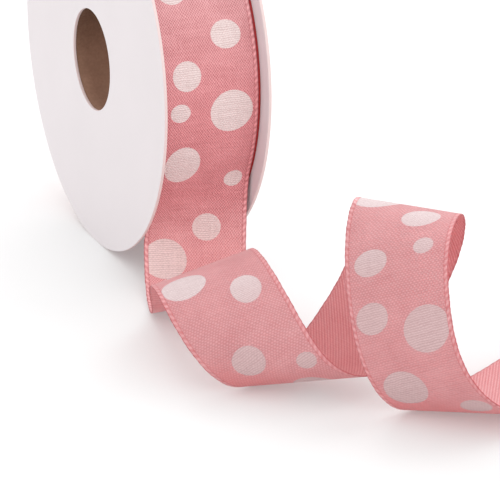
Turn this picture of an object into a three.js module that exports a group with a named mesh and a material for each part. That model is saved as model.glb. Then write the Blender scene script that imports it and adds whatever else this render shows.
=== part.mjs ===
// Roll of ribbon on a flanged card spool. The spool stands on edge and the loose end of the ribbon
// leaves the roll at the front, meets the floor and comes forward in two turns.
// Millimetres. In the working frame the spool's axis lies along +X, the left flange's outer face is at
// x = 0, the axis is at y = 0, the loose end comes out towards -Y and the floor is z = 0.
import * as THREE from "three";

// Spool: two thin board flanges and the tube between them.
const FLANGE_RADIUS = 48.65;
const FOOT_DEPTH = 0.12; // how far the rim is flattened where it stands
const HOLE_RADIUS = 12.9;
const BOARD = 0.75;
const INNER_GAP = 26;
const PIECE_GAP = 0.3; // between pieces that touch in the real object
const TUBE_WALL = 1.5;
const ROUND_STEPS = 120;
const AXIS_HEIGHT = FLANGE_RADIUS - FOOT_DEPTH;

// Ribbon.
const RIBBON_WIDTH = 25;
const SHEET_THICKNESS = 1;
const SHEET_RADIUS = 44; // middle of the outermost turn, where the loose end lies on the roll
const LEAD_LENGTH = 22; // how much of the loose end still lies on the roll
const LEAVES_AT = 116; // degrees round from the top at which the loose end leaves the roll
const LEAVES_X = 13.55; // middle of the ribbon across the spool
const ALONG_STEP = 2.5;
const ACROSS_STEPS = 8;
const INTEGRATION_STEP = 0.5;

// The loose end, a row for each place along it where its bend changes. at: millimetres from where it
// leaves the roll. bend: degrees of turn for each centimetre, positive where the printed side is
// outside. lean: degrees by which the fold line is turned from square across the ribbon.
const FOLDS = [
  { place: "leaves the roll", at: 0, bend: 6.5, lean: 0 },
  { place: "front of the roll", at: 11.5, bend: -29, lean: -33 },
  { place: "above the floor", at: 24, bend: -41, lean: 7 },
  { place: "first floor line", at: 35.5, bend: -38, lean: -10 },
  { place: "foot of the low arm", at: 49.5, bend: -25, lean: -31 },
  { place: "low arm", at: 66, bend: 19, lean: -10 },
  { place: "low crest", at: 84, bend: 21.5, lean: 5 },
  { place: "front of the first turn", at: 100, bend: 25, lean: 35 },
  { place: "second floor line", at: 118, bend: 47, lean: 27 },
  { place: "foot of the back arm", at: 132, bend: 30.5, lean: 35 },
  { place: "back arm", at: 148, bend: 11, lean: 7.5 },
  { place: "top of the back arm", at: 163, bend: 24, lean: 17 },
  { place: "high crest", at: 178, bend: 55, lean: 13 },
  { place: "front of the second turn", at: 193, bend: 30, lean: 26 },
  { place: "middle of the second turn", at: 210, bend: 12, lean: 21.5 },
  { place: "third floor line", at: 236, bend: 37, lean: 9.5 },
  { place: "last arm", at: 256, bend: 11.5, lean: 46.5 },
  { place: "cut end", at: 300, bend: -0.5, lean: 0 },
];

/** Value of a column of the fold table at a distance along the ribbon, joined by smooth cubics. */
function along(column, distance) {
  const last = FOLDS.length - 2;
  let i = FOLDS.findIndex((row) => row.at > distance) - 1;
  if (i < 0) i = distance < FOLDS[0].at ? 0 : last;
  const span = (k) => FOLDS[k + 1].at - FOLDS[k].at;
  const rate = (k) => (FOLDS[k + 1][column] - FOLDS[k][column]) / span(k);
  const slope = (k) => {
    if (k === 0) return rate(0);
    if (k > last) return rate(last);
    return (rate(k - 1) * span(k) + rate(k) * span(k - 1)) / (span(k - 1) + span(k));
  };
  const t = (distance - FOLDS[i].at) / span(i);
  return (
    FOLDS[i][column] * (1 + 2 * t) * (1 - t) ** 2 +
    slope(i) * span(i) * t * (1 - t) ** 2 +
    FOLDS[i + 1][column] * t * t * (3 - 2 * t) +
    slope(i + 1) * span(i) * t * t * (t - 1)
  );
}

/** Fold lines of the ribbon in order: for each, its middle point, direction and outward normal. */
function foldLines() {
  const angle = THREE.MathUtils.degToRad(LEAVES_AT);
  const lines = [];
  const onRoll = (distance) => {
    const a = angle + distance / SHEET_RADIUS;
    return {
      middle: new THREE.Vector3(LEAVES_X, -SHEET_RADIUS * Math.sin(a), AXIS_HEIGHT + SHEET_RADIUS * Math.cos(a)),
      across: new THREE.Vector3(1, 0, 0),
      normal: new THREE.Vector3(0, -Math.sin(a), Math.cos(a)),
    };
  };
  for (let d = -LEAD_LENGTH; d < -ALONG_STEP / 2; d += ALONG_STEP) lines.push(onRoll(d));
  const start = onRoll(0);
  const middle = start.middle;
  const frame = new THREE.Quaternion().setFromRotationMatrix(
    new THREE.Matrix4().makeBasis(
      new THREE.Vector3(0, -Math.cos(angle), -Math.sin(angle)),
      start.across,
      start.normal,
    ),
  );
  const steps = Math.round(FOLDS.at(-1).at / INTEGRATION_STEP);
  const each = Math.round(ALONG_STEP / INTEGRATION_STEP);
  for (let i = 0; i <= steps; i++) {
    const distance = i * INTEGRATION_STEP;
    const slant = Math.tan(THREE.MathUtils.degToRad(along("lean", distance)));
    const length = new THREE.Vector3(1, 0, 0).applyQuaternion(frame);
    const square = new THREE.Vector3(0, 1, 0).applyQuaternion(frame);
    if (i % each === 0)
      lines.push({
        middle: middle.clone(),
        across: square.clone().addScaledVector(length, slant),
        normal: new THREE.Vector3(0, 0, 1).applyQuaternion(frame),
      });
    const half = distance + INTEGRATION_STEP / 2;
    if (i === steps) break;
    const turn = THREE.MathUtils.degToRad(along("bend", half) / 10) * INTEGRATION_STEP;
    const lean = Math.tan(THREE.MathUtils.degToRad(along("lean", half)));
    const axis = new THREE.Vector3(lean, 1, 0);
    const angleNow = turn * axis.length();
    axis.normalize();
    const midway = frame.clone().multiply(new THREE.Quaternion().setFromAxisAngle(axis, angleNow / 2));
    middle.addScaledVector(new THREE.Vector3(1, 0, 0).applyQuaternion(midway), INTEGRATION_STEP);
    frame.multiply(new THREE.Quaternion().setFromAxisAngle(axis, angleNow));
  }
  return lines;
}

/** The loose end as a closed sheet: a grid of points on each side of the fold lines, and its rims. */
function ribbonSheet() {
  const lines = foldLines();
  const columns = ACROSS_STEPS + 1;
  const points = [];
  for (const side of [0.5, -0.5])
    for (const line of lines)
      for (let c = 0; c < columns; c++) {
        const v = RIBBON_WIDTH * (c / ACROSS_STEPS - 0.5);
        const p = line.middle.clone().addScaledVector(line.across, v);
        points.push(p.addScaledVector(line.normal, side * SHEET_THICKNESS));
      }
  const under = lines.length * columns;
  const at = (row, column) => row * columns + column;
  const faces = [];
  const quad = (a, b, c, d) => faces.push(a, b, c, a, c, d);
  for (let r = 0; r + 1 < lines.length; r++) {
    for (let c = 0; c + 1 < columns; c++) {
      const corners = [at(r, c), at(r + 1, c), at(r + 1, c + 1), at(r, c + 1)];
      quad(...corners);
      quad(...corners.map((k) => k + under).reverse());
    }
    quad(at(r, 0), at(r, 0) + under, at(r + 1, 0) + under, at(r + 1, 0));
    quad(at(r + 1, ACROSS_STEPS), at(r + 1, ACROSS_STEPS) + under, at(r, ACROSS_STEPS) + under, at(r, ACROSS_STEPS));
  }
  const end = lines.length - 1;
  for (let c = 0; c + 1 < columns; c++) {
    quad(at(0, c + 1), at(0, c + 1) + under, at(0, c) + under, at(0, c));
    quad(at(end, c), at(end, c) + under, at(end, c + 1) + under, at(end, c + 1));
  }
  const geometry = new THREE.BufferGeometry().setFromPoints(points);
  geometry.setIndex(faces);
  return geometry;
}

/** A ring standing on edge, its axis along +X from x, with a flat of the given depth at the bottom. */
function ring(x, length, outer, inner, flatDepth) {
  const flat = Math.acos((outer - flatDepth) / outer);
  const outline = new THREE.Shape();
  outline.absarc(0, 0, outer, -Math.PI / 2 + flat, 1.5 * Math.PI - flat, false);
  const hole = new THREE.Path();
  hole.absarc(0, 0, inner, 0, 2 * Math.PI, true);
  outline.holes.push(hole);
  const geometry = new THREE.ExtrudeGeometry(outline, {
    depth: length,
    bevelEnabled: false,
    curveSegments: ROUND_STEPS,
  });
  const upright = new THREE.Matrix4().makeBasis(
    new THREE.Vector3(0, 1, 0),
    new THREE.Vector3(0, 0, 1),
    new THREE.Vector3(1, 0, 0),
  );
  return geometry.applyMatrix4(upright).translate(x, 0, AXIS_HEIGHT);
}

const material = new THREE.MeshStandardMaterial();
const spool = new THREE.Group();
const add = (name, geometry) => {
  const mesh = new THREE.Mesh(geometry, material);
  mesh.name = name;
  spool.add(mesh);
};

const tubeRadius = HOLE_RADIUS + TUBE_WALL;
const woundRadius = SHEET_RADIUS - SHEET_THICKNESS / 2 - PIECE_GAP;
add("flange_left", ring(0, BOARD, FLANGE_RADIUS, HOLE_RADIUS, FOOT_DEPTH));
add("flange_right", ring(BOARD + INNER_GAP, BOARD, FLANGE_RADIUS, HOLE_RADIUS, FOOT_DEPTH));
add("core_tube", ring(BOARD + PIECE_GAP, INNER_GAP - 2 * PIECE_GAP, tubeRadius, HOLE_RADIUS, 0));
add(
  "ribbon_roll",
  ring(BOARD + (INNER_GAP - RIBBON_WIDTH) / 2, RIBBON_WIDTH, woundRadius, tubeRadius + PIECE_GAP, 0),
);
add("ribbon_tail", ribbonSheet());

// The part's frame: origin at the middle of the whole box's base, on the floor.
const box = new THREE.Box3().setFromObject(spool);
const part = new THREE.Group();
part.add(spool);
spool.position.set(-(box.min.x + box.max.x) / 2, -(box.min.y + box.max.y) / 2, -box.min.z);

export default part;
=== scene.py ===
"""Roll of polka dot ribbon: a card spool standing on edge, the wound ribbon and its loose end.

Metres in Blender, millimetres in the tables. The working frame is the spool's own: its axis lies
along +X, the left flange's outer face is at x = 0, the axis is at y = 0 and the floor is z = 0.
"""

import logging
import math
from dataclasses import dataclass, replace
from enum import Enum

import bpy
import numpy as np
from mathutils import Matrix, Quaternion, Vector


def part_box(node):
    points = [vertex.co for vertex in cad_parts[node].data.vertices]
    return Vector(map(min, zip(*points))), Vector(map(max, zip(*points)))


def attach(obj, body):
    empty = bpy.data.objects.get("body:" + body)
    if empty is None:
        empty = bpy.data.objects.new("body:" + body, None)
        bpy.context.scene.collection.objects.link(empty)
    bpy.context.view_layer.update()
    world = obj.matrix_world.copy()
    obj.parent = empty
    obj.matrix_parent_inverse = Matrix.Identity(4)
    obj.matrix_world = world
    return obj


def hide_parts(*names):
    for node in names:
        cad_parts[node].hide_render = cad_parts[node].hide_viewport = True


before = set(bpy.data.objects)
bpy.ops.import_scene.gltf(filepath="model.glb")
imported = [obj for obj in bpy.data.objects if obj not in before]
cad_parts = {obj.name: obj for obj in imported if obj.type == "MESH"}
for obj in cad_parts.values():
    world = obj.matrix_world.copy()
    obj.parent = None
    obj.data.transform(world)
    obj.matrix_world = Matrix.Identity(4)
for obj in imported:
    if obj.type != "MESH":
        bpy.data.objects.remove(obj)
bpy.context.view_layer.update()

log = logging.getLogger("ribbon_roll")
Socket = bpy.types.NodeSocket
Arrays = tuple[np.ndarray, ...]
MM = 0.001
MM_PER_CM = 10

# The spool's layout, in millimetres: the axis above the floor, and places along the axis.
AXIS_HEIGHT = 48.53
BOARD = 0.75
INNER_GAP = 26.0
LEFT_X = BOARD / 2
MIDDLE_X = BOARD + INNER_GAP / 2
RIGHT_X = BOARD + INNER_GAP + BOARD / 2


class Side(Enum):
    """Which face of the cloth a material dresses."""

    PRINTED = 0
    REVERSE = 1
    EDGE = 2


@dataclass(frozen=True)
class Seat:
    """Where the spool's working frame lies in the row's frame."""

    axis_height: float = AXIS_HEIGHT

    def origin(self) -> Vector:
        """Where the working frame's origin lies, from the left flange's box.

        Returns:
            The place in the row's frame, in metres.
        """
        low, high = (Vector(c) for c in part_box("flange_left"))
        radius = (high.y - low.y) / 2
        return Vector((low.x, (low.y + high.y) / 2, high.z - radius - self.axis_height * MM))


@dataclass(frozen=True)
class Fold:
    """One place along the loose end where its bend changes."""

    at: float  # millimetres from where the ribbon leaves the roll
    bend: float  # degrees of turn for each centimetre, positive with the printed side outside
    lean: float  # degrees by which the fold line is turned from square across the ribbon


# The same fold table as the CAD part's.
FOLDS = (
    Fold(0, 6.5, 0),
    Fold(11.5, -29, -33),
    Fold(24, -41, 7),
    Fold(35.5, -38, -10),
    Fold(49.5, -25, -31),
    Fold(66, 19, -10),
    Fold(84, 21.5, 5),
    Fold(100, 25, 35),
    Fold(118, 47, 27),
    Fold(132, 30.5, 35),
    Fold(148, 11, 7.5),
    Fold(163, 24, 17),
    Fold(178, 55, 13),
    Fold(193, 30, 26),
    Fold(210, 12, 21.5),
    Fold(236, 37, 9.5),
    Fold(256, 11.5, 46.5),
    Fold(300, -0.5, 0),
)


@dataclass(frozen=True)
class Dot:
    """One printed dot on the flat ribbon, nearly round; millimetres."""

    along: float  # from where the ribbon leaves the roll
    across: float  # from the ribbon's middle line
    length: float
    width: float


# The dots from the front of the roll to the end of the last arm; the print then starts again.
DOTS = (
    Dot(-35.6, 5.2, 6.9, 7.7),
    Dot(-26.7, -5.7, 7.3, 7.2),
    Dot(-17.9, -7.6, 4.6, 5.1),
    Dot(-16.9, 5.6, 10.5, 11.0),
    Dot(-3.4, -6.1, 10.7, 9.2),
    Dot(3.1, 8.3, 4.9, 4.8),
    Dot(16.3, 2.7, 6.9, 7.1),
    Dot(24.7, -7.5, 10.7, 10.8),
    Dot(36.0, 5.5, 7.2, 7.4),
    Dot(43.0, -6.6, 9.2, 9.4),
    Dot(50.5, 7.6, 4.7, 4.7),
    Dot(57.0, -5.6, 7.2, 7.4),
    Dot(64.5, 4.6, 10.3, 10.7),
    Dot(74.0, -8.4, 4.7, 4.7),
    Dot(85.9, -6.5, 10.0, 10.3),
    Dot(95.4, 5.4, 9.1, 6.9),
    Dot(111.3, -2.8, 7.3, 8.1),
    Dot(118.4, 8.4, 4.2, 4.9),
    Dot(126.5, 2.0, 9.2, 9.2),
    Dot(134.5, -8.0, 4.7, 4.7),
    Dot(142.5, 6.0, 7.2, 7.4),
    Dot(155.5, -7.5, 7.2, 7.4),
    Dot(161.0, 5.5, 9.2, 9.4),
    Dot(170.5, -4.0, 4.7, 4.7),
    Dot(172.0, 7.6, 4.7, 4.7),
    Dot(182.8, -7.2, 8.0, 10.9),
    Dot(192.1, 4.5, 6.7, 8.7),
    Dot(201.4, 6.4, 4.2, 4.7),
    Dot(202.9, -6.2, 6.3, 8.1),
    Dot(215.3, -7.0, 6.9, 8.2),
    Dot(220.4, 6.1, 10.1, 11.6),
    Dot(232.1, -4.9, 9.0, 11.0),
    Dot(241.9, 7.2, 6.0, 7.6),
    Dot(252.5, -6.5, 7.2, 7.4),
)
PRINT_LENGTH = 300.0  # after which the same dots come again
PRINT_REPEATS = (-2, -1, 0, 1)  # the print with these dots is number 0


@dataclass
class Course:
    """The ribbon's path: a spiral on the roll, then the loose end bent along its fold lines."""

    roll_radius: float = 44.0
    leaves_at: float = 116.0  # degrees round from the top
    leaves_x: float = 13.55
    turn_pitch: float = 0.34  # how far the spiral sinks in a turn
    wound_length: float = 320.0
    settle: float = 0.32  # the CAD sheet is 1 mm thick, so the thin cloth sinks this far to the floor
    settle_length: float = 30.0  # the first part of the loose end, over which it sinks
    step: float = 0.55  # from one fold line to the next
    axis_height: float = AXIS_HEIGHT

    def value(self, column: str, at: np.ndarray) -> np.ndarray:
        """Column of the fold table at the given places, joined by smooth cubics.

        Args:
            column: "bend" or "lean".
            at: millimetres along the loose end.

        Returns:
            The column's value at each place, in degrees.
        """
        x = np.array([f.at for f in FOLDS], float)
        y = np.array([getattr(f, column) for f in FOLDS], float)
        span = np.diff(x)
        rate = np.diff(y) / span
        slope = np.empty_like(x)
        slope[0], slope[-1] = rate[0], rate[-1]
        slope[1:-1] = (rate[:-1] * span[1:] + rate[1:] * span[:-1]) / (span[:-1] + span[1:])
        i = np.clip(np.searchsorted(x, at, side="right") - 1, 0, len(x) - 2)
        t = (at - x[i]) / span[i]
        return (
            y[i] * (1 + 2 * t) * (1 - t) ** 2
            + slope[i] * span[i] * t * (1 - t) ** 2
            + y[i + 1] * t * t * (3 - 2 * t)
            + slope[i + 1] * span[i] * t * t * (t - 1)
        )

    def lines(self) -> Arrays:
        """Fold lines from the hidden start of the outer turn to the cut end.

        Returns:
            Places along the ribbon, middle points, directions across, outward normals and slants.
        """
        wound = np.arange(-self.wound_length, -self.step / 2, self.step)
        angle = math.radians(self.leaves_at) + wound / self.roll_radius
        radius = self.roll_radius + self.turn_pitch * wound / (2 * math.pi * self.roll_radius)
        zero = np.zeros_like(wound)
        out = np.stack([zero, -np.sin(angle), np.cos(angle)], -1)
        middle = out * radius[:, None] + np.array([self.leaves_x, 0, self.axis_height])
        across = np.stack([zero + 1, zero, zero], -1)
        on_roll = (wound, middle, across, out, zero)
        return tuple(np.concatenate(both) for both in zip(on_roll, self.loose_end(), strict=True))

    def loose_end(self) -> Arrays:
        """Fold lines of the loose end, in the same five arrays as lines().

        Returns:
            Places along the ribbon, middle points, directions across, outward normals and slants.
        """
        length = FOLDS[-1].at
        count = round(length / self.step)
        step = length / count
        at = np.arange(count + 1) * step
        half = at[:-1] + step / 2
        turn = np.radians(self.value("bend", half) / MM_PER_CM) * step
        lean = np.tan(np.radians(self.value("lean", half)))
        slant = np.tan(np.radians(self.value("lean", at)))
        a = math.radians(self.leaves_at)
        columns = [(0, -math.cos(a), -math.sin(a)), (1, 0, 0), (0, -math.sin(a), math.cos(a))]
        turned = Matrix(columns).transposed().to_quaternion()
        middle = Vector((self.leaves_x, 0, self.axis_height)) + self.roll_radius * Vector(columns[2])
        points, across, normals = [], [], []
        for i in range(count + 1):
            axes = turned.to_matrix()
            points.append(middle[:])
            across.append((axes.col[1] + float(slant[i]) * axes.col[0])[:])
            normals.append(axes.col[2][:])
            if i == count:
                break
            axis = Vector((float(lean[i]), 1, 0))
            angle = float(turn[i]) * axis.length
            midway = turned @ Quaternion(axis, angle / 2)
            middle = middle + step * (midway @ Vector((1, 0, 0)))
            turned = turned @ Quaternion(axis, angle)
        points = np.array(points)
        settled = np.clip(at / self.settle_length, 0, 1)
        points[:, 2] -= self.settle * settled * settled * (3 - 2 * settled)
        return at, points, np.array(across), np.array(normals), slant


class NodeTree:
    """Small helper that builds one material's nodes around a Principled shader."""

    MIX_FACTOR, MIX_A, MIX_B, MIX_RESULT = 0, 6, 7, 2  # a Mix node's sockets when it mixes colours

    def __init__(self, name: str, roughness: float, specular: float) -> None:
        """Makes the material.

        Args:
            name: the material's name.
            roughness: the shader's roughness.
            specular: the shader's specular level.
        """
        self.material = bpy.data.materials.new(name)
        self.material.use_nodes = True
        self.tree = self.material.node_tree
        self.shader = self.tree.nodes["Principled BSDF"]
        self.give("Roughness", roughness)
        self.give("Specular IOR Level", specular)

    def put(self, socket: Socket, value: object) -> None:
        """Links or sets an input socket.

        Args:
            socket: the input.
            value: the socket to link it to, or its value.
        """
        if isinstance(value, Socket):
            self.tree.links.new(value, socket)
        else:
            socket.default_value = value

    def give(self, name: str, value: object) -> None:
        """Links or sets the shader's input of that name."""
        self.put(self.shader.inputs[name], value)

    def node(self, kind: str, inputs: dict, **settings: object) -> bpy.types.Node:
        """Adds a node.

        Args:
            kind: Blender's name of the node's class, after ShaderNode.
            inputs: values or sockets, by the input's name or number.
            settings: the node's own settings.

        Returns:
            The node.
        """
        node = self.tree.nodes.new("ShaderNode" + kind)
        for name, setting in settings.items():
            setattr(node, name, setting)
        for key, value in inputs.items():
            self.put(node.inputs[key], value)
        return node

    def math(self, operation: str, a: object, b: object = 0.0) -> Socket:
        """Result of Blender's operation of that name on one or two values or sockets."""
        return self.node("Math", {0: a, 1: b}, operation=operation).outputs[0]

    def times(self, a: object, b: object) -> Socket:
        """Product of two values or sockets."""
        return self.math("MULTIPLY", a, b)

    def rest(self, share: object) -> Socket:
        """What is left of 1 beside a share."""
        return self.math("SUBTRACT", 1.0, share)

    def blend(self, values: tuple, weights: tuple) -> Socket:
        """Weighted sum.

        Args:
            values: values or sockets.
            weights: a weight for each of them.

        Returns:
            The sum's socket.
        """
        parts = [self.times(value, weight) for value, weight in zip(values, weights, strict=True)]
        total = parts[0]
        for part in parts[1:]:
            total = self.math("ADD", total, part)
        return total

    def wave(self, phase: object, period: float) -> Socket:
        """Cosine of a distance in millimetres with the given period."""
        return self.math("COSINE", self.times(phase, 2 * math.pi / period))

    def mix(self, factor: object, a: object, b: object) -> Socket:
        """Colour mix.

        Args:
            factor: 0 gives a, 1 gives b.
            a: first colour, as display values of 0 to 255, or its socket.
            b: second colour or socket.

        Returns:
            The colour's socket.
        """
        a, b = (tone if isinstance(tone, Socket) else colour(*tone) for tone in (a, b))
        inputs = {self.MIX_FACTOR: factor, self.MIX_A: a, self.MIX_B: b}
        return self.node("Mix", inputs, data_type="RGBA").outputs[self.MIX_RESULT]

    def ramp(self, value: object, low: float, high: float) -> Socket:
        """Smooth 0 to 1 as a value goes from low to high, which may be the smaller one."""
        inputs = {"Value": value, "From Min": low, "From Max": high}
        return self.node("MapRange", inputs, interpolation_type="SMOOTHSTEP").outputs[0]

    def window(self, value: object, rise: tuple, fall: tuple) -> Socket:
        """Product of a ramp up and a ramp down, each given by its two ends."""
        return self.times(self.ramp(value, *rise), self.ramp(value, *fall))

    def noise(self, vector: object, scale: float, detail: float) -> Socket:
        """Noise from 0 to 1, with that many cells for each unit and that many finer layers."""
        return self.node("TexNoise", {"Vector": vector, "Scale": scale, "Detail": detail}).outputs[0]

    def place(self) -> Socket:
        """Place on the piece, in metres in the row's frame."""
        return self.node("TexCoord", {}).outputs["Object"]

    def attribute(self, name: str) -> Socket:
        """Vector that the mesh holds under that name at each point."""
        return self.node("Attribute", {}, attribute_name=name).outputs["Vector"]

    def split(self, vector: object) -> tuple[Socket, ...]:
        """Sockets of a vector's X, Y and Z."""
        return tuple(self.node("SeparateXYZ", {0: vector}).outputs)

    def stretch(self, vector: object, scale: tuple) -> Socket:
        """Vector with each of its parts scaled."""
        return self.node("VectorMath", {0: vector, 1: scale}, operation="MULTIPLY").outputs[0]

    def let_through(self, share: object, tint: tuple) -> None:
        """Mixes in light that passes through from behind.

        Args:
            share: how much of the surface lets light through.
            tint: the colour that the light takes, in display values.
        """
        through = self.node("BsdfTranslucent", {"Color": colour(*tint)})
        both = self.node("MixShader", {0: share, 1: self.shader.outputs[0], 2: through.outputs[0]})
        self.put(self.tree.nodes["Material Output"].inputs["Surface"], both.outputs[0])

    def bump(self, height: object, depth: float, strength: float = 1.0) -> None:
        """Bump on the shader, where a height of 1 stands out by depth metres."""
        node = self.node("Bump", {"Strength": strength, "Distance": depth, "Height": height})
        self.give("Normal", node.outputs[0])


def colour(red: float, green: float, blue: float) -> tuple[float, float, float, float]:
    """Linear colour, by the standard display curve.

    Args:
        red: display value of 0 to 255.
        green: the same for green.
        blue: the same for blue.

    Returns:
        Linear red, green and blue, and full opacity.
    """

    def linear(value: float) -> float:
        """One channel, from display to linear."""
        c = value / 255
        return c / 12.92 if c <= 0.04045 else ((c + 0.055) / 1.055) ** 2.4

    return linear(red), linear(green), linear(blue), 1.0


@dataclass(frozen=True)
class Tone:
    """Darkest and lightest colour of a finish, in display values of 0 to 255."""

    dark: tuple
    light: tuple


@dataclass(frozen=True)
class Streaks:
    """Noise over the flat ribbon, drawn out along or across it."""

    along: float  # cells for each millimetre
    across: float
    detail: float

    def make(self, nodes: NodeTree, flat: object) -> Socket:
        """The noise's socket, from 0 to 1."""
        return nodes.noise(nodes.stretch(flat, (self.along, self.across, 0.0)), 1.0, self.detail)


@dataclass(frozen=True)
class Grain:
    """Even noise over a piece."""

    per_metre: float
    detail: float

    def make(self, nodes: NodeTree) -> Socket:
        """The noise's socket, from 0 to 1."""
        return nodes.noise(nodes.place(), self.per_metre, self.detail)


@dataclass
class Threads:
    """What the steps of one cloth material share."""

    nodes: NodeTree
    side: Side
    u: Socket  # millimetres along the flat ribbon
    v: Socket  # millimetres across it
    ink: Socket  # millimetres to the nearest dot's outline, negative inside it
    pick: Socket  # u, strayed
    thread: Socket  # v, strayed
    checker: Socket  # the crossings of warp and weft
    picks: Socket  # the weft alone
    wefts: Socket
    slubs: Socket
    uneven: Socket  # wefts, warps and slubs together
    clouds: Socket
    wound: Socket  # 1 on the roll and down to the floor, 0 on the loose end; it brings in the roll's painted light and shade colours
    foot_bounce: Socket  # 0 on the roll, 1 just above the floor and beyond: where painted floor bounce light lightens the colours


@dataclass(frozen=True)
class RibbonCloth:
    """Woven taffeta with a pale dot print on one side; thin enough to let some light through."""

    loose: Tone = Tone((173, 103, 107), (238, 190, 192))
    reverse: Tone = Tone((203, 113, 117), (255, 206, 208))
    # On the roll, a lit and shaded copy of the cloth: painted red bounce light and deeper shade.
    on_roll: Tone = Tone((145, 57, 63), (249, 195, 197))
    on_roll_under_shade: tuple = (249, 173, 176)  # lightest colour where the roll curves under, redder: painted red bounce light and shade
    # Lighter where the ribbon hangs down to the floor: painted floor bounce light.
    foot_bounce_tone: Tone = Tone((178, 80, 84), (255, 197, 198))
    edge: Tone = Tone((188, 104, 108), (238, 188, 190))
    ink: Tone = Tone((172, 137, 138), (210, 181, 181))
    # Whiter on the crests, which face up: painted light from above.
    lit_crest_ink: Tone = Tone((179, 155, 156), (220, 204, 204))
    # The dots on the roll, lighter than on the loose end: a painted lit copy of the ink.
    lit_roll_ink: Tone = Tone((187, 160, 158), (241, 225, 223))
    # The dots there, lighter with the same painted floor bounce light.
    foot_bounce_ink: tuple = (255, 230, 227)
    # Painted red bounce light and shade where the loose end meets the floor.
    floor_bounce_tint: tuple = (238, 126, 128)
    depth_shade: tuple = (168, 44, 38)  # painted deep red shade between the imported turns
    glow: tuple = (238, 124, 120)  # of light that comes through the cloth

    gloss: tuple = (0.62, 0.2)  # roughness and specular level
    turns_gloss: tuple = (0.8, 0.1)
    sheen: float = 0.12
    sheen_roughness: float = 0.45
    relief: float = 0.00009  # metres that the weave stands out
    through: float = 0.26  # share of light let through
    ink_cover: float = 0.95  # share of that light which the print stops
    show_through: float = 0.12  # how much of the print shows on the reverse

    weft_pitch: float = 0.515
    warp_pitch: float = 0.41
    crossing: float = 2.0  # pitches from one crossing of the threads to the next
    roll_crossing: float = 1.6  # the same on the roll
    ribs: float = 0.5  # slanted ribs for each pitch, on the reverse
    wander: float = 0.7  # millimetres by which the threads stray over a few millimetres
    drift: Streaks = Streaks(0.5, 0.35, 2.0)
    wefts: Streaks = Streaks(1.7, 0.12, 1.0)
    warps: Streaks = Streaks(0.1, 2.1, 1.0)
    slubs: Streaks = Streaks(1.3, 1.3, 3.0)
    clouds: Streaks = Streaks(0.16, 0.1, 2.0)
    frays: Grain = Grain(1400.0, 3.0)  # at the roll's sides

    half_width: float = 12.5
    selvage: float = 0.98  # width of the edge cord
    reverse_selvage: float = 0.4
    selvage_blur: float = 0.06
    twist_pitch: float = 1.6
    twist_slant: float = 0.9
    cord_rise: tuple = (-0.1, 0.26)  # millimetres in from the edge
    cord_fall: tuple = (1.12, 0.62)
    groove_rise: tuple = (0.9, 1.05)
    groove_fall: tuple = (1.3, 1.12)
    # How far the groove is darkened: painted shade in the groove.
    groove_shade: float = 0.08
    reverse_groove_shade: float = 0.05
    ragged: float = 0.05  # how far the weave frays a dot's outline
    outline: float = 0.06  # half the width of a dot's outline

    # Stretches of the ribbon over which a look comes or goes, in millimetres along it.
    # Where the roll's painted light and shade colours give way to the loose end's.
    wound_end: tuple = (60.0, 34.0)
    plain_end: tuple = (46.0, 34.0)
    # Where the roll curves under, with painted red bounce light and shade.
    under_shade_start: tuple = (-55.0, -12.0)
    under_shade_end: tuple = (24.0, 6.0)
    # Where the painted floor bounce light comes in.
    foot_bounce_start: tuple = (6.0, 24.0)
    drawn_start: tuple = (208.0, 236.0)
    # The crests, whose dots take painted light from above.
    lit_crests: tuple = (((60.0, 74.0), (112.0, 86.0)), ((150.0, 168.0), (212.0, 186.0)))
    floor_bounce_rise: tuple = (0.011, 0.0)  # metres above the floor over which the painted red bounce light and shade fade in
    floor_bounce_share: float = 0.45  # of the painted red bounce light and shade, where the cloth meets the floor
    edge_share: float = 0.5  # of the roll's dark colour, which holds painted shade, in its edge cord

    # Weights of the parts that a blend adds up.
    rib_parts: tuple = (0.62, 0.2, 0.18)  # slanted ribs, crossings and picks
    face_parts: tuple = (0.66, 0.34)  # crossings and picks
    # Here the weave, the weave and crossings on the roll, and the crossings on the drawn end.
    place_parts: tuple = (1.0, -1.0, 0.95, -0.5)
    height_parts: tuple = (0.5, 0.5)  # weave and a constant
    uneven_parts: tuple = (0.4, 0.25, 0.35)  # wefts, warps and slubs
    shade_parts: tuple = (0.54, 0.5, 0.3, -0.17)  # weave, uneven threads, clouds and a constant
    fill_parts: tuple = (0.2, 0.08, 0.9, 0.05)  # picks, crossings, uneven threads and a constant
    strand_parts: tuple = (0.2, 0.6, 0.4, 0.06)  # twist, wefts, slubs and a constant
    gloss_parts: tuple = (0.5, 0.33)  # wefts and a constant
    bump_parts: tuple = (1.0, 0.3)  # weave and edge cord

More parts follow.
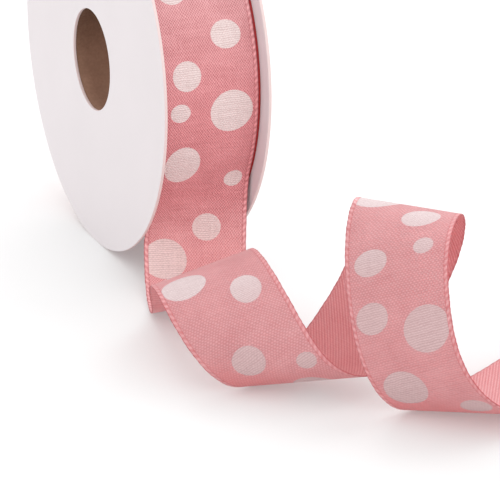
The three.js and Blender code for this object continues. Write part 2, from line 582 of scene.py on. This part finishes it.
    def make(self, side: Side) -> bpy.types.Material:
        """Material for one side of the cloth.

        Args:
            side: the printed side, the reverse or the woven edge.

        Returns:
            The material.
        """
        nodes = NodeTree(f"ribbon_{side.name.lower()}", *self.gloss)
        nodes.give("Sheen Weight", self.sheen)
        nodes.give("Sheen Roughness", self.sheen_roughness)
        threads = self.threads(nodes, side)
        height = self.weave(threads)
        dark, light = self.tones(threads)
        shade = nodes.blend((height, threads.uneven, threads.clouds, 1.0), self.shade_parts)
        cloth = nodes.mix(shade, dark, light)
        ragged = nodes.math("ADD", threads.ink, nodes.times(threads.checker, self.ragged))
        printed = nodes.ramp(ragged, self.outline, -self.outline)
        if side is Side.PRINTED:
            cloth = self.paint_floor_bounce(threads, cloth)
            cloth = nodes.mix(printed, cloth, self.print_colour(threads))
        elif side is Side.REVERSE:
            cloth = nodes.mix(nodes.times(printed, self.show_through), cloth, self.loose.dark)
        inward = nodes.math("SUBTRACT", self.half_width, nodes.math("ABSOLUTE", threads.v))
        bright = self.cord(threads, inward)
        cloth = self.bind(threads, inward, bright, (cloth, dark, light))
        nodes.give("Base Color", cloth)
        nodes.give("Roughness", nodes.blend((threads.wefts, 1.0), self.gloss_parts))
        nodes.bump(nodes.blend((height, bright), self.bump_parts), self.relief)
        gaps = nodes.math("SUBTRACT", self.through, nodes.times(printed, self.through * self.ink_cover))
        nodes.let_through(nodes.times(gaps, nodes.rest(threads.wound)), self.glow)
        return nodes.material

    def threads(self, nodes: NodeTree, side: Side) -> Threads:
        """Reads the flat ribbon's coordinates and lays its threads.

        Args:
            nodes: the material's nodes.
            side: the side to dress.

        Returns:
            What the next steps share.
        """
        flat = nodes.attribute("flat")
        u, v, ink = nodes.split(flat)
        drift = nodes.times(self.drift.make(nodes, flat), self.wander)
        pick, thread = nodes.math("ADD", u, drift), nodes.math("SUBTRACT", v, drift)
        wefts, slubs = self.wefts.make(nodes, flat), self.slubs.make(nodes, flat)
        return Threads(
            nodes=nodes,
            side=side,
            u=u,
            v=v,
            ink=ink,
            pick=pick,
            thread=thread,
            checker=self.crossings(nodes, pick, thread, self.crossing),
            picks=nodes.wave(pick, self.weft_pitch),
            wefts=wefts,
            slubs=slubs,
            uneven=nodes.blend((wefts, self.warps.make(nodes, flat), slubs), self.uneven_parts),
            clouds=self.clouds.make(nodes, flat),
            wound=nodes.ramp(u, *self.wound_end),
            foot_bounce=nodes.ramp(u, *self.foot_bounce_start),
        )

    def crossings(self, nodes: NodeTree, pick: object, thread: object, size: float) -> Socket:
        """Product of a wave along the weft and one along the warp, each of that many pitches."""
        weft = nodes.wave(pick, size * self.weft_pitch)
        return nodes.times(weft, nodes.wave(thread, size * self.warp_pitch))

    def weave(self, threads: Threads) -> Socket:
        """Height of the weave: slanted ribs on the reverse, crossings and picks elsewhere.

        On the roll the crossings stand alone, and the weft stands out on the drawn end of the last turn.

        Args:
            threads: what the steps share.

        Returns:
            The height's socket, from 0 to 1.
        """
        nodes = threads.nodes
        if threads.side is Side.REVERSE:
            along = nodes.times(threads.pick, self.ribs / self.weft_pitch)
            across = nodes.times(threads.thread, self.ribs / self.warp_pitch)
            rib = nodes.wave(nodes.math("ADD", along, across), 1.0)
            grain = nodes.blend((rib, threads.checker, threads.picks), self.rib_parts)
        else:
            plain = self.crossings(nodes, threads.pick, threads.thread, self.roll_crossing)
            on_roll = nodes.ramp(threads.u, *self.plain_end)
            drawn = nodes.ramp(threads.u, *self.drawn_start)
            face = nodes.blend((threads.checker, threads.picks), self.face_parts)
            rolled = nodes.times(face, on_roll), nodes.times(plain, on_roll)
            at_end = nodes.times(threads.checker, drawn)
            grain = nodes.blend((face, *rolled, at_end), self.place_parts)
        return nodes.blend((grain, 1.0), self.height_parts)

    def tones(self, threads: Threads) -> tuple:
        """Darkest and lightest colour of the cloth all along the ribbon.

        On the roll the colours are painted light and shade: red bounce light from the turns beneath, in
        place of light let through, deeper shade, and redder still where the roll curves under.

        Args:
            threads: what the steps share.

        Returns:
            The two colours' sockets.
        """
        nodes = threads.nodes
        # Painted red bounce light and shade where the roll curves under.
        low = nodes.window(threads.u, self.under_shade_start, self.under_shade_end)
        roll_light = nodes.mix(low, self.on_roll.light, self.on_roll_under_shade)
        # Painted floor bounce light at the foot.
        wound_dark = nodes.mix(threads.foot_bounce, self.on_roll.dark, self.foot_bounce_tone.dark)
        wound_light = nodes.mix(threads.foot_bounce, roll_light, self.foot_bounce_tone.light)
        loose = self.reverse if threads.side is Side.REVERSE else self.loose
        dark = nodes.mix(threads.wound, loose.dark, wound_dark)
        return dark, nodes.mix(threads.wound, loose.light, wound_light)

    def paint_floor_bounce(self, threads: Threads, cloth: object) -> Socket:
        """The loose end's colour with painted red bounce light and shade, redder close to the floor.

        Args:
            threads: what the steps share.
            cloth: the colour so far.

        Returns:
            The colour's socket.
        """
        nodes = threads.nodes
        rise = nodes.split(nodes.place())[2]
        floor_bounce = nodes.times(nodes.ramp(rise, *self.floor_bounce_rise), self.floor_bounce_share)
        share = nodes.times(floor_bounce, nodes.rest(threads.wound))
        return nodes.mix(share, cloth, self.floor_bounce_tint)

    def print_colour(self, threads: Threads) -> Socket:
        """Colour of the printed dots, with painted light: whiter on the crests of the loose end, which
        face the light from above.

        Args:
            threads: what the steps share.

        Returns:
            The colour's socket.
        """
        nodes = threads.nodes
        # Painted light from above on the crests' dots.
        lit_crest = nodes.math("ADD", *(nodes.window(threads.u, rise, fall) for rise, fall in self.lit_crests))
        thin = nodes.mix(lit_crest, self.ink.dark, self.lit_crest_ink.dark)
        full = nodes.mix(lit_crest, self.ink.light, self.lit_crest_ink.light)
        # On the roll the dots take the painted lit copy of the ink, and at the foot the painted floor
        # bounce light.
        roll_full = nodes.mix(threads.foot_bounce, self.lit_roll_ink.light, self.foot_bounce_ink)
        thin = nodes.mix(threads.wound, thin, self.lit_roll_ink.dark)
        full = nodes.mix(threads.wound, full, roll_full)
        fill = nodes.blend((threads.picks, threads.checker, threads.uneven, 1.0), self.fill_parts)
        return nodes.mix(fill, thin, full)

    def cord(self, threads: Threads, inward: object) -> Socket:
        """Brightness of the twisted cord along the ribbon's edge.

        Args:
            threads: what the steps share.
            inward: millimetres in from the edge.

        Returns:
            The brightness's socket, 0 away from the edge.
        """
        nodes = threads.nodes
        slant = nodes.times(nodes.math("ABSOLUTE", threads.v), self.twist_slant)
        twist = nodes.wave(nodes.math("ADD", threads.u, slant), self.twist_pitch)
        strand = nodes.blend((twist, threads.wefts, threads.slubs, 1.0), self.strand_parts)
        return nodes.times(strand, nodes.window(inward, self.cord_rise, self.cord_fall))

    def bind(self, threads: Threads, inward: object, bright: object, colours: tuple) -> Socket:
        """Lays the edge cord, and the faint painted shade of the groove inside it, over the cloth's
        colour.

        Args:
            threads: what the steps share.
            inward: millimetres in from the edge.
            bright: the cord's brightness.
            colours: the cloth's colour so far, and its darkest and lightest colour.

        Returns:
            The colour's socket.
        """
        nodes = threads.nodes
        cloth, dark, light = colours
        if threads.side is Side.REVERSE:
            band, depth = self.reverse_selvage, self.reverse_groove_shade
        else:
            band, depth = self.selvage, self.groove_shade
        edge_dark = nodes.mix(nodes.times(threads.wound, self.edge_share), self.edge.dark, dark)
        edge_light = nodes.mix(threads.wound, self.edge.light, light)
        at_edge = nodes.ramp(inward, band + self.selvage_blur, band - self.selvage_blur)
        cloth = nodes.mix(at_edge, cloth, nodes.mix(bright, edge_dark, edge_light))
        # Painted shade in the groove.
        groove = nodes.window(inward, self.groove_rise, self.groove_fall)
        return nodes.mix(nodes.times(groove, depth), cloth, dark)

    def turns(self) -> bpy.types.Material:
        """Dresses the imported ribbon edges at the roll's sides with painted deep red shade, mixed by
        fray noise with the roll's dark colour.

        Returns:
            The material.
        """
        nodes = NodeTree("ribbon_turns", *self.turns_gloss)
        fray = self.frays.make(nodes)
        # Painted deep red shade of the narrow gaps by the flanges.
        nodes.give("Base Color", nodes.mix(fray, self.depth_shade, self.on_roll.dark))
        nodes.bump(fray, self.relief)
        return nodes.material


@dataclass(frozen=True)
class BoardFinish:
    """Finish of the board's face or of its cut edge."""

    name: str
    tint: tuple
    roughness: float
    cloud: float  # display levels by which the clouds darken the tint
    relief: float  # metres


@dataclass(frozen=True)
class CoatedBoard:
    """White coated board with a bare cream cut edge."""

    face: BoardFinish = BoardFinish("board_face", (221, 214, 216), 0.42, 5, 0.000004)
    rim: BoardFinish = BoardFinish("board_rim", (228, 208, 206), 0.7, 14, 0.00002)
    specular: float = 0.3
    clouds: Grain = Grain(60.0, 3.0)
    fibres: Grain = Grain(2600.0, 2.0)
    bump_strength: float = 0.5

    def make(self, part: BoardFinish) -> bpy.types.Material:
        """Material for the face or the cut edge.

        Args:
            part: the finish of that part.

        Returns:
            The material.
        """
        nodes = NodeTree(part.name, part.roughness, self.specular)
        deeper = tuple(level - part.cloud for level in part.tint)
        nodes.give("Base Color", nodes.mix(self.clouds.make(nodes), deeper, part.tint))
        nodes.bump(self.fibres.make(nodes), part.relief, self.bump_strength)
        return nodes.material


@dataclass(frozen=True)
class KraftCard:
    """Brown wound card with pale and dark fibres."""

    tone: Tone = Tone((80, 51, 36), (168, 129, 108))
    gloss: tuple = (0.85, 0.2)  # roughness and specular level
    clouds: Grain = Grain(180.0, 4.0)
    fibres: Grain = Grain(1500.0, 3.0)
    relief: float = 0.00004
    bump_strength: float = 0.6
    mouth: float = 0.012  # metres in from the left opening over which the painted shade by the opening fades and the tube gets lighter
    rise: float = 0.014  # metres above and below the axis over which it gets lighter downward: painted light on the lower wall
    parts: tuple = (0.35, 0.3, 0.32, 0.52, -0.27)  # clouds, fibres, painted shade by depth, painted light by lowness and a constant

    def make(self, opening: Vector) -> bpy.types.Material:
        """Material of the tube with painted light and shade: a little darker at the top and by the left
        opening, lighter on the lower wall.

        Args:
            opening: the middle of the left opening, in the row's frame.

        Returns:
            The material.
        """
        nodes = NodeTree("core_kraft", *self.gloss)
        cloud, fibre = self.clouds.make(nodes), self.fibres.make(nodes)
        x, _, z = nodes.split(nodes.place())
        # Painted shade by the left opening and painted light on the lower wall.
        depth_shade = nodes.ramp(x, opening.x, opening.x + self.mouth)
        low = nodes.ramp(z, opening.z + self.rise, opening.z - self.rise)
        shade = nodes.blend((cloud, fibre, depth_shade, low, 1.0), self.parts)
        nodes.give("Base Color", nodes.mix(shade, self.tone.dark, self.tone.light))
        nodes.bump(fibre, self.relief, self.bump_strength)
        return nodes.material


def add_mesh(name: str, points: np.ndarray, faces: list, origin: Vector) -> bpy.types.Object:
    """Object from points in the working frame.

    Args:
        name: the piece's name.
        points: millimetres in the working frame.
        faces: lists of point numbers.
        origin: the working frame's origin.

    Returns:
        The new object, at the row's origin.
    """
    mesh = bpy.data.meshes.new(name)
    mesh.from_pydata((np.asarray(points) * MM + np.array(origin[:])).tolist(), [], faces)
    mesh.update()
    piece = bpy.data.objects.new(name, mesh)
    bpy.context.scene.collection.objects.link(piece)
    return piece


@dataclass(frozen=True)
class EdgePoint:
    """A place near the ribbon's edge and the cloth's thickness there, in millimetres."""

    inward: float
    thickness: float


# The twisted cord, and the faint groove inside it at 1.12 mm.
EDGE_PROFILE = (
    EdgePoint(0.0, 0.13),
    EdgePoint(0.1, 0.24),
    EdgePoint(0.3, 0.26),
    EdgePoint(0.48, 0.27),
    EdgePoint(0.66, 0.26),
    EdgePoint(0.9, 0.24),
    EdgePoint(1.12, 0.21),
    EdgePoint(1.34, 0.22),
)


@dataclass
class RibbonSheet:
    """The outermost turn and the loose end, one strip of cloth."""

    course: Course
    width: float = 25.0
    thickness: float = 0.22
    inner_columns: int = 27
    scallop: float = 0.14  # how far the edge cord bulges out
    scallop_parts: tuple = (0.5, 0.3, 0.2)  # a constant, the cord's twist and a slower sway
    sway: float = 0.9  # millimetres for each radian of the sway
    ink_reach: float = 3.0  # millimetres at which the distance to a dot is cut off

    def columns(self) -> Arrays:
        """Places across the ribbon, closer together at the woven edges.

        Returns:
            The places, and the thickness at each of them.
        """
        inward = np.array([edge.inward for edge in EDGE_PROFILE])
        thick = np.array([edge.thickness for edge in EDGE_PROFILE])
        reach = self.width / 2 - inward
        inside = np.linspace(-reach[-1], reach[-1], self.inner_columns)[1:-1]
        across = np.concatenate([-reach, inside, reach[::-1]])
        return across, np.concatenate([thick, np.full(len(inside), self.thickness), thick[::-1]])

    def dots(self, start: float, end: float) -> list[Dot]:
        """All dots between two places along the ribbon, the visible ones and their repeats.

        Args:
            start: the first place.
            end: the last place.

        Returns:
            The dots.
        """
        found = []
        for repeat in PRINT_REPEATS:
            for dot in DOTS:
                along = dot.along + repeat * PRINT_LENGTH
                if start - dot.length < along < end + dot.length:
                    found.append(replace(dot, along=along))
        return found

    def bulges(self, at: np.ndarray, twist_pitch: float) -> np.ndarray:
        """How far the edge cord bulges out.

        Args:
            at: places along the ribbon.
            twist_pitch: length of one twist of the cord.

        Returns:
            The bulge at each place.
        """
        steady, twist, sway = self.scallop_parts
        waves = steady + twist * np.sin(2 * math.pi * at / twist_pitch) + sway * np.sin(at / self.sway)
        return waves * self.scallop

    def faces(self, rows: int, cols: int) -> tuple[list, list[Side]]:
        """Quads of the closed sheet: both sides, the two long rims and the two ends.

        Args:
            rows: how many points lie along the ribbon.
            cols: how many lie across it.

        Returns:
            The quads, and the side that each of them shows.
        """
        under = rows * cols
        faces, sides = [], []
        for r in range(rows - 1):
            for c in range(cols - 1):
                a, b = r * cols + c, (r + 1) * cols + c
                faces.append((a, b, b + 1, a + 1))
                faces.append((a + 1 + under, b + 1 + under, b + under, a + under))
                sides += [Side.PRINTED, Side.REVERSE]
            for c in (0, cols - 1):
                a, b = r * cols + c, (r + 1) * cols + c
                rim = (a, a + under, b + under, b)
                faces.append(rim if c == 0 else rim[::-1])
                sides.append(Side.EDGE)
        for r in (0, rows - 1):
            for c in range(cols - 1):
                a, b = r * cols + c, r * cols + c + 1
                rim = (b, b + under, a + under, a)
                faces.append(rim if r == 0 else rim[::-1])
                sides.append(Side.EDGE)
        return faces, sides

    def build(self, origin: Vector, cloth: RibbonCloth) -> bpy.types.Object:
        """Makes the closed sheet and dresses it.

        Args:
            origin: the working frame's origin.
            cloth: the finish.

        Returns:
            The sheet.
        """
        at, middle, across, normal, slant = self.course.lines()
        v, thick = self.columns()
        reach = np.tile(v, (len(at), 1))
        bulges = self.bulges(at, cloth.twist_pitch)
        reach[:, 0] -= bulges
        reach[:, -1] += bulges
        surface = middle[:, None, :] + across[:, None, :] * reach[:, :, None]
        lift = normal[:, None, :] * thick[None, :, None] / 2
        points = np.concatenate([(surface + lift).reshape(-1, 3), (surface - lift).reshape(-1, 3)])
        faces, sides = self.faces(*reach.shape)
        sheet = add_mesh("ribbon_sheet", points, faces, origin)
        flat_u = at[:, None] + slant[:, None] * reach
        ink = self.ink_distance(flat_u, reach, float(at[0]), float(at[-1]))
        flat = np.stack([flat_u, reach, ink], -1).reshape(-1, 3)
        data = sheet.data.attributes.new("flat", "FLOAT_VECTOR", "POINT")
        data.data.foreach_set("vector", np.concatenate([flat, flat]).astype(np.float32).ravel())
        for side in Side:
            sheet.data.materials.append(cloth.make(side))
        sheet.data.polygons.foreach_set("material_index", [s.value for s in sides])
        sheet.data.polygons.foreach_set("use_smooth", [s is not Side.EDGE for s in sides])
        sheet.data.update()
        return sheet

    def ink_distance(self, u: np.ndarray, v: np.ndarray, start: float, end: float) -> np.ndarray:
        """Distance in millimetres to the nearest dot's outline, negative inside a dot.

        Args:
            u: places along the flat ribbon.
            v: places across it.
            start: where the ribbon starts.
            end: where it ends.

        Returns:
            The distance at each place, cut off at ink_reach either way.
        """
        nearest = np.full(u.shape, self.ink_reach)
        for dot in self.dots(start, end):
            shape = np.hypot((u - dot.along) / dot.length, (v - dot.across) / dot.width)
            nearest = np.minimum(nearest, (2 * shape - 1) * min(dot.length, dot.width) / 2)
        return np.maximum(nearest, -self.ink_reach)


@dataclass
class WoundRibbon:
    """The turns under the outermost one, seen as fine rings at the roll's sides."""

    inner: float = 14.8
    outer: float = 43.4
    half_width: float = 12.97
    middle_x: float = MIDDLE_X
    turn: float = 0.5
    sink: float = 0.3  # the most that a turn's edge lies inward of the others
    seed: int = 7
    lip: float = 0.56  # a turn that lies nearer the right flange than the outermost one; it shows the painted deep red shade in the gap by that flange
    lip_radius: float = 43.9
    steps: int = 180

    def build(self, origin: Vector, cloth: RibbonCloth) -> bpy.types.Object:
        """Makes the ring of turns and dresses it.

        Args:
            origin: the working frame's origin.
            cloth: the finish.

        Returns:
            The ring.
        """
        random = np.random.default_rng(self.seed)
        radii = np.arange(self.inner, self.outer + self.turn / 2, self.turn)
        sink = random.uniform(0.0, self.sink, len(radii))
        sink[-1] = 0.0
        lip_x = self.half_width - self.lip
        profile = [(self.half_width - s, r) for r, s in zip(radii, sink, strict=True)]
        profile += [(self.half_width, self.lip_radius), (lip_x, self.lip_radius), (lip_x, self.outer)]
        profile += [(-(self.half_width - s), r) for r, s in zip(radii[::-1], sink[::-1], strict=True)]
        ring = lathe("wound_turns", profile, self.middle_x, self.steps, origin)
        ring.data.materials.append(cloth.turns())
        return ring


def lathe(
    name: str, profile: list, middle_x: float, steps: int, origin: Vector, floor: float | None = None
) -> bpy.types.Object:
    """Closed ring swept round the spool's axis.

    Args:
        name: the piece's name.
        profile: points of its section, each a distance along the axis and a radius.
        middle_x: where distance 0 lies along the axis.
        steps: how many sections go round.
        origin: the working frame's origin.
        floor: height below which the ring is flattened, if any.

    Returns:
        The ring.
    """
    angles = np.linspace(0, 2 * math.pi, steps, endpoint=False)
    along = np.array([p[0] for p in profile])
    radius = np.array([p[1] for p in profile])
    count = len(profile)
    x = np.tile(along + middle_x, steps)
    y = (np.sin(angles)[:, None] * radius).ravel()
    z = (np.cos(angles)[:, None] * radius).ravel() + AXIS_HEIGHT
    if floor is not None:
        z = np.maximum(z, floor)
    faces = []
    for i in range(steps):
        j = (i + 1) % steps
        for k in range(count):
            m = (k + 1) % count
            faces.append((i * count + k, j * count + k, j * count + m, i * count + m))
    return add_mesh(name, np.stack([x, y, z], -1), faces, origin)


@dataclass
class Flange:
    """One board disc of the spool."""

    name: str
    middle_x: float
    radius: float = 48.65
    hole: float = 12.9
    board: float = BOARD
    rounding: float = 0.1
    round_angles: tuple = (0.0, 0.8, 1.57)  # radians round the rim's soft corner
    hole_corner: float = 0.3  # share of the rounding at which the hole's corner is cut
    rim_band: float = 3.0  # width of the face's outermost ring of quads
    steps: int = 360
    cut_below: float = 0.9  # a face that is turned less than this to the side shows the cut edge
    flat_above: float = 0.99  # and one that is turned more than this is shaded flat

    def build(self, origin: Vector, board: CoatedBoard) -> bpy.types.Object:
        """Makes the disc with its softly rounded cut edges and dresses it.

        Args:
            origin: the working frame's origin.
            board: the finish.

        Returns:
            The disc.
        """
        half, soft = self.board / 2, self.rounding
        cut = soft * self.hole_corner
        profile = [(half, self.hole + soft), (half, self.radius - self.rim_band)]
        for angle in self.round_angles:
            inward, down = soft * (1 - math.cos(angle)), soft * (1 - math.sin(angle))
            profile.append((half - inward, self.radius - down))
        profile += [(-x, r) for x, r in profile[::-1]]
        profile += [(-half + cut, self.hole + cut), (-half + soft, self.hole)]
        profile += [(half - soft, self.hole), (half - cut, self.hole + cut)]
        disc = lathe(self.name, profile, self.middle_x, self.steps, origin, floor=0.0)
        disc.data.materials.append(board.make(board.face))
        disc.data.materials.append(board.make(board.rim))
        for face in disc.data.polygons:
            if abs(face.normal.x) < self.cut_below:
                face.material_index = 1  # the cut edge's
            face.use_smooth = abs(face.normal.x) < self.flat_above
        return disc


@dataclass
class CoreTube:
    """The brown card tube between the flanges."""

    inner: float = 12.9
    outer: float = 14.4
    half_length: float = 12.95
    middle_x: float = MIDDLE_X
    stations: int = 9  # rings of points along the tube
    steps: int = 240
    flat_above: float = 0.9  # a face that is turned more than this to the side is shaded flat

    def build(self, origin: Vector, card: KraftCard) -> bpy.types.Object:
        """Makes the tube and dresses it.

        Args:
            origin: the working frame's origin.
            card: the finish.

        Returns:
            The tube.
        """
        stations = np.linspace(-self.half_length, self.half_length, self.stations)
        profile = [(x, self.outer) for x in stations[::-1]] + [(x, self.inner) for x in stations]
        tube = lathe("core_kraft_tube", profile, self.middle_x, self.steps, origin)
        tube.data.materials.append(card.make(origin + Vector((0, 0, AXIS_HEIGHT * MM))))
        for face in tube.data.polygons:
            face.use_smooth = abs(face.normal.x) < self.flat_above
        return tube


@dataclass(frozen=True)
class SoftBox:
    """One square light."""

    name: str
    place: tuple  # metres
    power: float  # watts
    size: float = 0.7  # its side in metres


SOFT_BOXES = (
    SoftBox("above_right", (0.7, 0.1, 0.9), 1.5),
    SoftBox("front", (0.0, -1.1, 0.5), 1.9),
    SoftBox("behind", (0.2, 0.9, 0.7), 4.4),
)


@dataclass
class Studio:
    """Camera, pale floor and soft light."""

    azimuth: float = -24.11
    elevation: float = 21.17
    lens: float = 173.86
    place: tuple = (-201.28, -547.13, 222.58)  # working frame, millimetres
    view_depth: float = 20.0  # metres
    target: tuple = (0.0, -0.03, 0.03)  # what the lights face, metres
    surround: float = 1.24  # strength of the even white light from all round
    floor_half: float = 6.0  # metres
    floor_colour: tuple = (0.6, 0.6, 0.6, 1)
    floor_glow: float = 0.223
    floor_gloss: tuple = (0.9, 0.0)  # roughness and specular level

    def camera(self, origin: Vector) -> None:
        """Sets the camera at the photograph's viewing angle.

        Args:
            origin: the working frame's origin.
        """
        a, e = math.radians(self.azimuth), math.radians(self.elevation)
        back = Vector((math.sin(a) * math.cos(e), -math.cos(a) * math.cos(e), math.sin(e)))
        data = bpy.data.cameras.new("camera")
        data.lens = self.lens
        data.clip_end = self.view_depth
        camera = bpy.data.objects.new("camera", data)
        camera.rotation_euler = back.to_track_quat("Z", "Y").to_euler()
        camera.location = origin + Vector(self.place) * MM
        bpy.context.scene.collection.objects.link(camera)
        bpy.context.scene.camera = camera

    def floor(self) -> None:
        """Pale floor, larger than every view."""
        size = self.floor_half
        corners = [(-size, -size, 0), (size, -size, 0), (size, size, 0), (-size, size, 0)]
        mesh = bpy.data.meshes.new("floor")
        mesh.from_pydata(corners, [], [(0, 1, 2, 3)])
        floor = bpy.data.objects.new("floor", mesh)
        bpy.context.scene.collection.objects.link(floor)
        nodes = NodeTree("floor_pale", *self.floor_gloss)
        nodes.give("Base Color", self.floor_colour)
        nodes.give("Emission Color", (1, 1, 1, 1))
        nodes.give("Emission Strength", self.floor_glow)
        mesh.materials.append(nodes.material)

    def light(self) -> None:
        """Soft boxes and an even white surround."""
        world = bpy.data.worlds.new("surround")
        world.use_nodes = True
        background = world.node_tree.nodes["Background"]
        background.inputs["Color"].default_value = (1, 1, 1, 1)
        background.inputs["Strength"].default_value = self.surround
        bpy.context.scene.world = world
        for box in SOFT_BOXES:
            self.add_light(box)
        bpy.context.scene.view_settings.view_transform = "Standard"

    def add_light(self, box: SoftBox) -> None:
        """Hangs one soft box so that it faces the target.

        Args:
            box: the light.
        """
        data = bpy.data.lights.new(box.name, "AREA")
        data.size = box.size
        data.energy = box.power
        light = bpy.data.objects.new(box.name, data)
        light.location = box.place
        away = Vector(box.place) - Vector(self.target)
        light.rotation_euler = away.to_track_quat("Z", "Y").to_euler()
        bpy.context.scene.collection.objects.link(light)


def dress(piece: bpy.types.Object, slot: str, *nodes: str) -> None:
    """Puts a piece on the root body in place of CAD nodes.

    Args:
        piece: the piece.
        slot: the record's material slot; not used.
        nodes: the CAD nodes that it stands for.
    """
    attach(piece, "root")
    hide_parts(*nodes)
    log.info("%s: %d faces, stands for %s", piece.name, len(piece.data.polygons), ", ".join(nodes))


def main() -> None:
    """Builds the roll piece by piece and the studio round it."""
    logging.basicConfig(level=logging.INFO, format="%(name)s: %(message)s")
    origin = Seat().origin()
    studio = Studio()
    studio.camera(origin)
    cloth, board, card = RibbonCloth(), CoatedBoard(), KraftCard()
    dress(Flange("flange_board_left", LEFT_X).build(origin, board), "flange_board", "flange_left")
    dress(Flange("flange_board_right", RIGHT_X).build(origin, board), "flange_board", "flange_right")
    dress(CoreTube().build(origin, card), "core_card", "core_tube")
    turns = WoundRibbon().build(origin, cloth)
    dress(turns, "ribbon", "ribbon_roll")
    course = Course()
    sheet = RibbonSheet(course).build(origin, cloth)
    dress(sheet, "ribbon", "ribbon_tail")
    studio.floor()
    studio.light()


if __name__ == "__main__":
    main()
